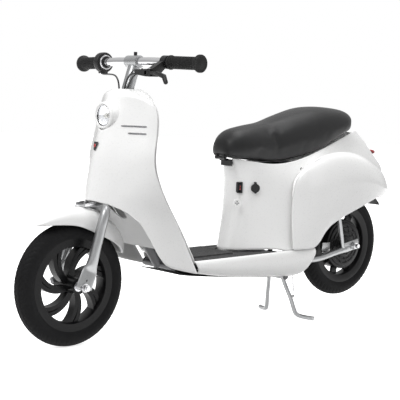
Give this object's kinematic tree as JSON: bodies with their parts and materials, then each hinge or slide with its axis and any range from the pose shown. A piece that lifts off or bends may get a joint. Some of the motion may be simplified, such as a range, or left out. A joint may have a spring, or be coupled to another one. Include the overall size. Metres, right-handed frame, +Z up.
{
  "type": "sit-down electric mini scooter",
  "caption": "Retro moped-style sit-down electric mini scooter with leg shield, padded saddle, twist throttle, hand brake and centre stand.",
  "frame": {"origin": "on the ground, in the middle of the scooter's length and width", "axes": "+X forward, +Y to the rider's left, +Z up; the stand is down and lifts the rear wheel, so the body leans 2.5 degrees nose-down"},
  "size_m": [1.353, 0.4992, 0.7524],
  "materials": {
    "white_gloss": "high gloss moulded body panel",
    "white_matte": "fine-textured moulded inner panel",
    "tyre_black": "pneumatic tyre rubber",
    "rim_black": "satin black paint on cast alloy",
    "motor_black": "satin black cast motor shell",
    "fork_silver": "silver metallic paint",
    "steel_zinc": "zinc-plated fasteners",
    "bearing_steel": "ground steel",
    "chrome_bar": "bright chrome",
    "frame_grey": "dark grey powder coat",
    "rubber_black": "moulded grip rubber",
    "plastic_black": "glass-filled nylon, fine texture",
    "mat_grey": "ribbed rubber mat",
    "cable_black": "cable housing",
    "lamp_glass": "clear lens",
    "lamp_silver": "metallised reflector",
    "bulb_glass": "frosted bulb",
    "badge_dark": "domed badge",
    "seat_vinyl": "fine-grained vinyl",
    "switch_red": "red rocker",
    "marker_red": "red reflector",
    "battery_case": "battery case",
    "valve_brass": "valve stem"
  },
  "bodies": {
    "chassis": {"head_tube": "frame_grey", "headset_bearings": "bearing_steel", "down_tube": "frame_grey", "floor_rails": "frame_grey", "rear_frame": "fork_silver", "seat_frame": "frame_grey", "leg_shield": "white_gloss", "rear_apron": "white_gloss", "arch_liner": "white_gloss", "lamp_housing": "white_gloss", "lamp_bezel": "white_gloss", "lamp_reflector": "lamp_silver", "lamp_bulb": "bulb_glass", "lamp_lens": "lamp_glass", "front_badge": "badge_dark", "shield_trim": "chrome_bar", "sill_panels": "white_gloss", "floor_deck": "white_matte", "floor_mat": "mat_grey", "belly_pan": "plastic_black", "battery_pack": "battery_case", "motor_controller": "bearing_steel", "tail_body": "white_gloss", "tail_cowls": "white_gloss", "rear_inner_fender": "plastic_black", "storage_bin": "plastic_black", "seat_hinge": "steel_zinc", "switch_housing": "plastic_black", "charge_port": "plastic_black", "tail_marker": "marker_red", "rear_axle": "steel_zinc", "stand_bracket": "frame_grey"},
    "steering": {"fork": "fork_silver", "front_fender": "white_gloss", "fender_bracket": "steel_zinc", "steering_stem": "fork_silver", "stem_bolt": "plastic_black", "handlebar": "chrome_bar", "left_grip": "rubber_black", "throttle_housing": "plastic_black", "brake_perch": "plastic_black", "lever_screw": "steel_zinc", "brake_cable_front": "cable_black", "throttle_wire": "cable_black", "front_axle": "steel_zinc", "front_axle_nuts": "steel_zinc"},
    "front_wheel": {"front_tyre": "tyre_black", "front_rim": "rim_black", "front_valve": "valve_brass", "front_bearings": "bearing_steel"},
    "rear_wheel": {"rear_tyre": "tyre_black", "rear_wheel_motor": "motor_black"},
    "throttle": {"throttle_grip": "rubber_black"},
    "brake": {"brake_lever": "plastic_black"},
    "seat": {"seat_pan": "plastic_black", "seat_cushion": "seat_vinyl"},
    "stand": {"centre_stand": "fork_silver", "stand_spring": "steel_zinc"},
    "port_cap": {"charge_cap": "rubber_black"},
    "rocker": {"rocker_switch": "switch_red"}
  },
  "joints": [
    {"name": "steering_turn", "type": "hinge", "parent": "chassis", "child": "steering", "pos_m": [0.4435, 0, 0.365], "axis": [-0.309, 0, 0.9511], "range_deg": [-35, 35]},
    {"name": "front_wheel_spin", "type": "hinge", "parent": "steering", "child": "front_wheel", "pos_m": [0.5185, 0, 0.159], "axis": [0, 1, 0], "continuous": true},
    {"name": "rear_wheel_spin", "type": "hinge", "parent": "chassis", "child": "rear_wheel", "pos_m": [-0.4885, 0, 0.2026], "axis": [0, 1, 0], "continuous": true},
    {"name": "throttle_twist", "type": "hinge", "parent": "steering", "child": "throttle", "pos_m": [0.31951, -0.199, 0.7237], "axis": [-0.0849, -0.9961, -0.0255], "range_deg": [0, 60], "stiffness_Nm_per_rad": 0.25, "springref_deg": -22.92},
    {"name": "brake_squeeze", "type": "hinge", "parent": "steering", "child": "brake", "pos_m": [0.36973, 0.114, 0.69757], "axis": [0, 0, 1], "range_deg": [0, 16], "stiffness_Nm_per_rad": 0.8, "springref_deg": -17.19},
    {"name": "seat_open", "type": "hinge", "parent": "chassis", "child": "seat", "pos_m": [0.0155, 0, 0.475], "axis": [0, 1, 0], "range_deg": [0, 75]},
    {"name": "stand_fold", "type": "hinge", "parent": "chassis", "child": "stand", "pos_m": [-0.2215, 0, 0.124], "axis": [0, -1, 0], "range_deg": [0, 75]},
    {"name": "port_cap_open", "type": "hinge", "parent": "chassis", "child": "port_cap", "pos_m": [-0.06198, 0.06516, 0.4056], "axis": [0.9135, -0.4067, 0], "range_deg": [0, 100]},
    {"name": "power_rock", "type": "hinge", "parent": "chassis", "child": "rocker", "pos_m": [-0.02753, 0.03506, 0.392], "axis": [-0.8829, 0.4695, 0], "range_deg": [-9, 9]}
  ]
}
